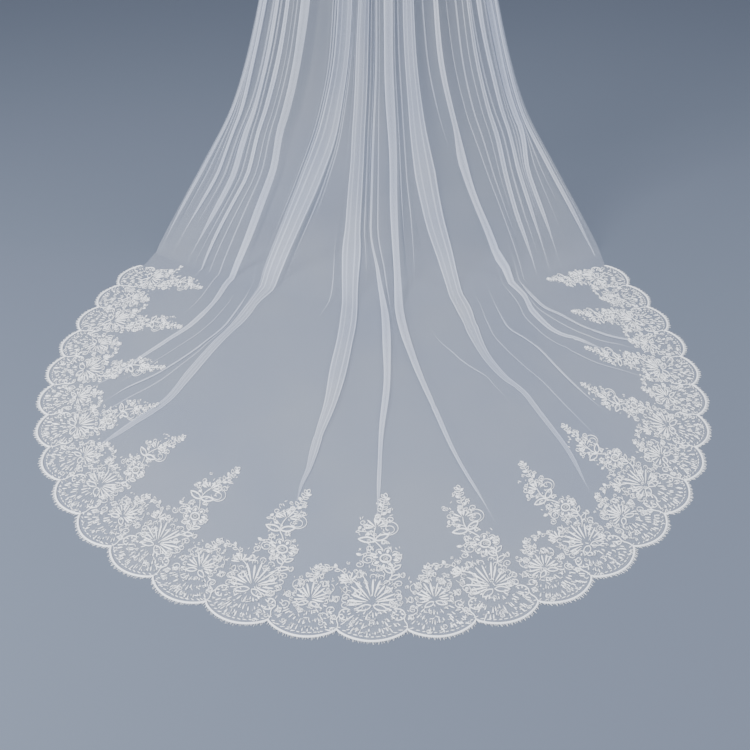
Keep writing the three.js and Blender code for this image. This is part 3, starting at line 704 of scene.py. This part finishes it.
# the ground of a motif: short stitches and small curls, scattered within an outline of (rise, left, right)
def fillGround(cords, satin, sequins, outline, stitches, curls, seed):
    pick = np.random.RandomState(seed)
    outline = np.array(outline, float)
    low, high = outline[[0, -1], 0]
    done = 0
    while done < stitches + curls:
        x, rise = pick.uniform(-70, 70), pick.uniform(low, high)
        left, right = monotone(outline[:, 0], outline[:, 1:], [rise])[0]
        if not left < x < right:
            continue
        if done < stitches:
            angle = math.degrees(math.atan2(x, rise - 20)) + pick.uniform(-55, 55)
            addStitch(satin, x, rise, angle, pick.uniform(4, 9), pick.uniform(1.2, 2.1))
        else:
            turns = 1.2 if pick.uniform() < 0.5 else -1.2
            addCord(cords, spiralLine(x, rise, pick.uniform(3.5, 6.5), pick.uniform(0, 360), turns, 8),
                    laceSettings["fine"], laceSettings["low"])
            sequins.append((x, rise, 0.65))
        done += 1


def crescent(cords, satin, x, rise, radius, start, stop):
    addCord(cords, arcLine(x, rise, radius, start, stop, 10), laceSettings["cord"], laceSettings["high"])
    for angle in np.linspace(start + 12, stop - 12, 5):
        addPetal(satin, x, rise, angle, radius * 0.45, radius * 0.85, 2.8, 1.4)


spireOutline = [(-10, -50, 50), (40, -58, 58), (96, -48, 52), (126, -64, 52), (152, -60, 36), (172, -26, 48),
                (206, -30, 50), (226, -18, 22), (246, -36, 36), (262, -20, 32), (288, -28, 40),
                (330, 6, 34), (346, 14, 32)]
fanOutline = [(-10, -50, 50), (40, -56, 56), (78, -44, 46), (108, -48, 46), (132, -22, 24), (148, -6, 12)]


# places and sizes of the looping stitches in each kind of motif
spireScribbles = [
    (-30, 86, 9), (34, 92, 8), (-56, 92, 8), (56, 128, 7), (-22, 130, 9), (14, 146, 8), (48, 176, 7),
    (-4, 198, 7), (22, 214, 6), (-12, 256, 6), (22, 268, 7), (-40, 62, 8), (40, 58, 8), (30, 300, 5),
    (8, 284, 5), (-60, 118, 7),
]
fanScribbles = [
    (-26, 98, 8), (24, 102, 8), (-48, 66, 8), (48, 68, 8), (10, 120, 6), (-14, 118, 6), (-50, 26, 6),
    (50, 26, 6),
]


def spireMotif(seed):
    cords, satin, sequins = newShape(), newShape(), []
    thin, cord, bold = (laceSettings[k] for k in ("thin", "cord", "bold"))
    low, high = laceSettings["low"], laceSettings["high"]
    fanFlower(cords, satin, sequins, 0, 64, 13, 100, 60, 4.0, seed)
    for side in (-1, 1):
        addCord(cords, leafLine(side * 2, 56, side * 112, 29, 12), cord, high, True)
        crescent(cords, satin, side * 47, 34, 13, side * 90 - 120, side * 90 + 120)
        addCord(cords, spiralLine(side * 52, 74, 9, -side * 90, side * 1.3), thin, low)
    sunburst(satin, sequins, 64, [(27, 13, 66, 9, 2.7), (46, 13, 56, 13, 2.7), (64, 12, 44, 14, 2.5)],
             seed + 50)
    fillGround(cords, satin, sequins, spireOutline, 110, 34, seed + 100)
    # right stem with its leaves, up to the ring flower
    addCord(cords, curveLine([(20, 104), (36, 122), (38, 146), (26, 160)]), cord, low)
    addCord(cords, leafLine(33, 118, 62, 22, 10), cord, high, True)
    addCord(cords, leafLine(37, 134, -48, 20, 9), cord, high, True)
    addCord(cords, leafLine(39, 142, 48, 18, 8), cord, high, True)
    addCord(cords, spiralLine(52, 106, 10, 200, 1.4), thin, low)
    # left sprig with its small flower
    addCord(cords, curveLine([(-20, 100), (-34, 112), (-46, 120)]), cord, low)
    fanFlower(cords, satin, sequins, -44, 112, 6, 70, 26, 3.4, seed + 1, -28, False)
    sprig(cords, satin, curveLine([(-46, 122), (-58, 140), (-74, 149), (-86, 147)], 14), 7, 11)
    # ring flower
    addCord(cords, arcLine(24, 171, 10, 0, 336, 14), bold, high + 0.4, True)
    for k in range(8):
        ahead = turned(k * 45 + 12)[0]
        addPetal(satin, 24, 171, k * 45 + 12, 14, 24, 5.4, 2)
        loop = arcLine(24 + ahead[0] * 21, 171 + ahead[1] * 21, 6.6, k * 45 - 110, k * 45 + 134, 8)
        addCord(cords, loop, thin, low)
        sequins.append((24 + ahead[0] * 4, 171 + ahead[1] * 4, 0.8))
    addCord(cords, spiralLine(-8, 168, 13, 60, -1.6), thin, low)
    addCord(cords, spiralLine(-24, 156, 9, 0, 1.4), thin, low)
    sprig(cords, satin, curveLine([(8, 182), (-8, 186), (-24, 178)], 9), 4, 10)
    # bold leaf pair on the stem
    addCord(cords, curveLine([(20, 192), (12, 206), (4, 218), (2, 236), (6, 258)]), cord, low)
    addCord(cords, leafLine(4, 218, -82, 31, 14, 8), bold, high + 0.3, True)
    addCord(cords, leafLine(5, 219, 58, 30, 13, 8), bold, high + 0.3, True)
    sprig(cords, satin, curveLine([(2, 230), (-12, 242), (-24, 244), (-28, 252)], 9), 4, 9)
    # half flower with scrolls
    fanFlower(cords, satin, sequins, 6, 254, 7, 84, 28, 3.6, seed + 2, -8, False)
    addCord(cords, spiralLine(30, 250, 15, 240, -1.2), thin, low)
    addCord(cords, arcLine(29, 252, 19, 0, 190, 12), thin, low)
    addCord(cords, spiralLine(34, 276, 9, 180, 1.3), thin, low)
    addCord(cords, spiralLine(-18, 268, 8, 90, 1.3), thin, low)
    # tip
    sprig(cords, satin, curveLine([(8, 262), (16, 290), (20, 318), (24, 340)], 14), 11, 12)
    addCord(cords, leafLine(24, 338, 4, 13, 8, 5), thin, high, True)
    for k, (x, rise, size) in enumerate(spireScribbles):
        addCord(cords, scribbleLine(x, rise, size, k), thin, low)
        sequins.append((x, rise, 0.8))
    return cords, satin, sequins


def fanMotif(seed):
    cords, satin, sequins = newShape(), newShape(), []
    thin, cord, low, high = (laceSettings[k] for k in ("thin", "cord", "low", "high"))
    fanFlower(cords, satin, sequins, 0, 62, 11, 98, 42, 3.6, seed)
    for side in (-1, 1):
        addCord(cords, leafLine(side * 2, 55, side * 116, 22, 9), cord, high, True)
        addCord(cords, spiralLine(side * 44, 42, 10, side * 180, side * 1.4), thin, low)
        addCord(cords, arcLine(side * 30, 92, 12, side * 20, side * 250, 10), thin, low)
    sunburst(satin, sequins, 62, [(26, 12, 68, 9, 2.6), (45, 12, 58, 13, 2.6), (63, 11, 46, 14, 2.5)],
             seed + 50)
    fillGround(cords, satin, sequins, fanOutline, 66, 22, seed + 100)
    sprig(cords, satin, curveLine([(0, 102), (-4, 116), (-2, 130), (3, 142)], 12), 8, 11)
    addCord(cords, leafLine(3, 140, 6, 11, 6, 5), thin, low, True)
    for k, (x, rise, size) in enumerate(fanScribbles):
        addCord(cords, scribbleLine(x, rise, size, 40 + k), thin, low)
        sequins.append((x, rise, 0.8))
    return cords, satin, sequins


# the band's rise, a spire's rise above it, and the rise from which a motif no longer bends with the hem
motifForm = dict(band=58, spire=308, bendTo=170)
# how motifs lie along the hem, lower and leaning towards both ends: scallop, share of a motif's rise above
# the band, how far along the hem the tip of a spire is drawn
motifLie = np.array([
    (-14, 0.55, -20), (-11, 0.66, -22), (-8, 0.62, -56), (-6, 0.74, -88), (-4, 0.88, -72), (0, 1, 2),
    (4, 0.86, 60), (8, 0.7, 90), (11, 0.52, 60), (14, 0.45, 14),
])


# places on the floor for points of the motif at one scallop: near the hem it bends with the hem
def motifPlace(scallop, x, rise):
    tall, lean = monotone(motifLie[:, 0], motifLie[:, 1:], [scallop])[0]
    above = np.maximum(rise - motifForm["band"], 0)
    x, rise = x + lean * above / motifForm["spire"], rise - above * (1 - tall)
    bent, along, out = hemAt(scallop + x / pitch)
    bent = bent - out * rise[:, None]
    middle, along, out = hemAt(np.array(float(scallop)))
    straight = middle + x[:, None] * along - rise[:, None] * out
    return bent + (straight - bent) * smooth(rise, motifForm["band"], motifForm["bendTo"])[:, None]


lying = points.reshape(-1, 3)
near = lying[:, 2] < floorZ + 120
floorFaces = faces[near[faces].all(1)]
clothTop = BVHTree.FromPolygons(lying.tolist(), floorFaces.tolist())


# height of the cloth's top at places on the floor
def clothHeight(places):
    heights = np.full(len(places), floorZ + 0.5)
    down = Vector((0, 0, -1))
    for k, (x, y) in enumerate(places.tolist()):
        hit = clothTop.ray_cast(Vector((x, y, floorZ + 60)), down, 80)[0]
        if hit:
            heights[k] = hit.z
    return heights


laceCords, laceSatin, sequinSpots = newShape(), newShape(), []
for scallop in range(-14, 15):
    motif = (fanMotif if scallop % 2 else spireMotif)(20 + scallop)
    for shape, target in zip(motif[:2], (laceCords, laceSatin)):
        local = np.vstack(shape["points"])
        place = motifPlace(scallop, local[:, 0], local[:, 1])
        addPart(target, np.column_stack([place, local[:, 2]]), shape["faces"])
    spots = np.array(motif[2])
    place = motifPlace(scallop, spots[:, 0], spots[:, 1])
    sequinSpots.append(np.column_stack([place, spots[:, 2]]))

# hem: a bold cord round the scallops, a broken line of stitches inside it, and a stalk at every valley
hemSettings = dict(perScallop=36, inset=1, height=2.4, dashStep=9.5, dashIn=9, dashTurn=14, stalk=1.4)
hemPlaces = np.linspace(-hemHalf, hemHalf, veil["scallops"] * hemSettings["perScallop"] + 1)
hemPoint, _, hemOut = hemAt(hemPlaces)
edgeLine = hemPoint + hemOut * (bulge(hemPlaces) - hemSettings["inset"])[:, None]
addCord(laceCords, edgeLine, laceSettings["hem"], hemSettings["height"])
pick = np.random.RandomState(3)
dashes = np.arange(-hemHalf + 0.04, hemHalf - 0.04, hemSettings["dashStep"] / pitch)
dashPoint, dashAlong, dashOut = hemAt(dashes)
dashPoint = dashPoint + dashOut * (bulge(dashes) * 0.95 - hemSettings["dashIn"])[:, None]
for k in range(len(dashes)):
    sway = pick.uniform(-hemSettings["dashTurn"], hemSettings["dashTurn"])
    angle = math.degrees(math.atan2(*dashAlong[k])) + sway
    addStitch(laceSatin, *dashPoint[k], angle, pick.uniform(5, 8.5), pick.uniform(1.4, 2.3))
for valley in np.arange(-13.5, 14):
    shape = newShape()
    stalk = curveLine([(0, 2), (1, 10), (-3, 22), (2, 34)], 8)
    addCord(shape, stalk, laceSettings["cord"], hemSettings["stalk"])
    local = shape["points"][0]
    place = motifPlace(valley, local[:, 0], local[:, 1])
    addPart(laceCords, np.column_stack([place, local[:, 2]]), shape["faces"])

# rayon embroidery cord, with the twist of its yarn drawn at 2 mm
cordMaterial, tree, shader = newMaterial("rayonCord", Roughness=0.42, Sheen_Weight=0.25)
roughen(tree, shader, mottle(tree, shader, 500.0, "dfe3ec", "ffffff"), 0.35, 0.0006)

# satin stitches: parallel threads, drawn at 1.2 mm
satinMaterial, tree, shader = newMaterial("rayonSatinStitch", Roughness=0.3, Sheen_Weight=0.2)
roughen(tree, shader, mottle(tree, shader, 830.0, "e9ecf3", "ffffff"), 0.25, 0.0005)


def lacePiece(name, shape, material):
    local = np.vstack(shape["points"])
    local[:, 2] += clothHeight(local[:, :2])
    piece = newPiece(name, local, shape["faces"], material)
    return piece


cords = lacePiece("laceCords", laceCords, cordMaterial)
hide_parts("lace_edging")
satin = lacePiece("laceSatin", laceSatin, satinMaterial)
print("lace", len(laceCords["faces"]), "and", len(laceSatin["faces"]), "faces")

# eyelash fringe outside the hem
fringeSettings = dict(step=3.0, length=5.5, width=0.9)
fringe = newShape()
lashes = np.arange(-hemHalf + 0.02, hemHalf - 0.02, fringeSettings["step"] / pitch)
root, along, out = hemAt(lashes)
root = root + out * bulge(lashes)[:, None]
for k in range(len(lashes)):
    wave = 1 + 0.3 * math.sin(k * 1.7) + 0.15 * math.sin(k * 0.37)
    tip = root[k] + (out[k] + along[k] * 0.3 * math.sin(k * 2.3)) * fringeSettings["length"] * wave
    side = along[k] * fringeSettings["width"] / 2
    hair = [(*(root[k] - side), 0.2), (*root[k], 1.2), (*(root[k] + side), 0.2),
            (*(tip - side / 2), 0.2), (*tip, 0.8), (*(tip + side / 2), 0.2)]
    addPart(fringe, hair, [(0, 3, 4, 1), (1, 4, 5, 2)])
lash = lacePiece("hemFringe", fringe, cordMaterial)

# cup sequins, each tilted a little in its own way
sequinMaterial, tree, shader = newMaterial("clearSequin", Roughness=0.16, Metallic=0.7, Coat_Weight=0.5)
mottle(tree, shader, 160.0, "e4ebfa", "fffdf6", 1.0)
spots = np.vstack(sequinSpots)
pick = np.random.RandomState(7)
sequinShape = newShape()
for x, y, size in spots:
    radius = laceSettings["sequin"] * size
    a = np.arange(6) * np.pi / 3 + pick.uniform(0, 1)
    slope = pick.uniform(-0.25, 0.25, 2)
    rim = np.column_stack([x + radius * np.cos(a), y + radius * np.sin(a),
                           1.5 + radius * (slope[0] * np.cos(a) + slope[1] * np.sin(a))])
    addPart(sequinShape, np.vstack([rim, [(x, y, 1.1)]]), [(k, (k + 1) % 6, 6) for k in range(6)])
sequins = lacePiece("laceSequins", sequinShape, sequinMaterial)
print("sequins", len(spots))

# comb: clear moulded plastic with faint flow marks
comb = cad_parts["comb"]
combMaterial, tree, shader = newMaterial("clearPlastic", Roughness=0.18, Alpha=0.55, Coat_Weight=0.3)
mottle(tree, shader, 120.0, "d6dce0", "eef2f4")
comb.data.materials.clear()
comb.data.materials.append(combMaterial)

# sewing thread wound over the comb's spine and through the gathered edge
threadSettings = dict(turns=46, half=43, radius=0.45, spine=3.4, clear=0.6, thick=1.6, sides=5)
threadMaterial, tree, shader = newMaterial("sewingThread", Roughness=0.6)
mottle(tree, shader, 900.0, "e2e4ea", "fbfbfd")
t = np.linspace(0, 1, threadSettings["turns"] * 12 + 1)
a = 2 * np.pi * threadSettings["turns"] * t
tilt = math.pi / 6
up = np.array([0, -math.sin(tilt), math.cos(tilt)])
out = np.array([0, -math.cos(tilt), -math.sin(tilt)])
coil = (np.outer((2 * t - 1) * threadSettings["half"], [1, 0, 0])
        + np.outer((threadSettings["spine"] + threadSettings["clear"]) * np.cos(a), up)
        + np.outer(threadSettings["thick"] * np.sin(a), out))
heading = np.gradient(coil, axis=0)
heading /= np.linalg.norm(heading, axis=1)[:, None]
sideways = np.cross(heading, np.array([1.0, 0, 0]))
sideways /= np.linalg.norm(sideways, axis=1)[:, None]
other = np.cross(heading, sideways)
sides = threadSettings["sides"]
ring = [coil + threadSettings["radius"] * (math.cos(b) * sideways + math.sin(b) * other)
        for b in np.arange(sides) * 2 * np.pi / sides]
coilPoints = np.stack(ring, 1).reshape(-1, 3)
coilFaces = []
for i in range(len(t) - 1):
    here, there = sides * i, sides * (i + 1)
    coilFaces += [(here + k, here + (k + 1) % sides, there + (k + 1) % sides, there + k) for k in range(sides)]
thread = newPiece("combThread", coilPoints, coilFaces, threadMaterial)
print("comb and thread")

# plain grey-blue floor, darker than a pale one so that the white net shows
floorMaterial, tree, shader = newMaterial("greyBlueFloor", Roughness=0.8)
shader.inputs["Base Color"].default_value = hexColour("565e6d")
floorMesh = bpy.data.meshes.new("studioFloor")
floorSettings = dict(half=9, below=0.5)
half, low = floorSettings["half"], (floorZ - floorSettings["below"]) * mm
floorCorners = [(-half, -half, low), (half, -half, low), (half, half, low), (-half, half, low)]
floorMesh.from_pydata(floorCorners, [], [(0, 1, 2, 3)])
floorMesh.materials.append(floorMaterial)
floor = bpy.data.objects.new("studioFloor", floorMesh)
bpy.context.scene.collection.objects.link(floor)

# soft studio light
world = bpy.data.worlds.new("studio")
bpy.context.scene.world = world
world.use_nodes = True
world.node_tree.nodes["Background"].inputs["Color"].default_value = hexColour("dbe3f2")
world.node_tree.nodes["Background"].inputs["Strength"].default_value = 0.85


def softLight(name, place, aim, size, power):
    data = bpy.data.lights.new(name, "AREA")
    data.size = size
    data.energy = power
    light = bpy.data.objects.new(name, data)
    light.location = place
    light.rotation_euler = (Vector(aim) - Vector(place)).to_track_quat("-Z", "Y").to_euler()
    bpy.context.scene.collection.objects.link(light)


softLight("keyLight", (-2.2, -2.4, 1.4), (0, -0.8, -1.5), 1.6, 300)
softLight("fillLight", (2.6, -1.2, 1.0), (0, -0.6, -1.4), 2.4, 95)
print("stage set")
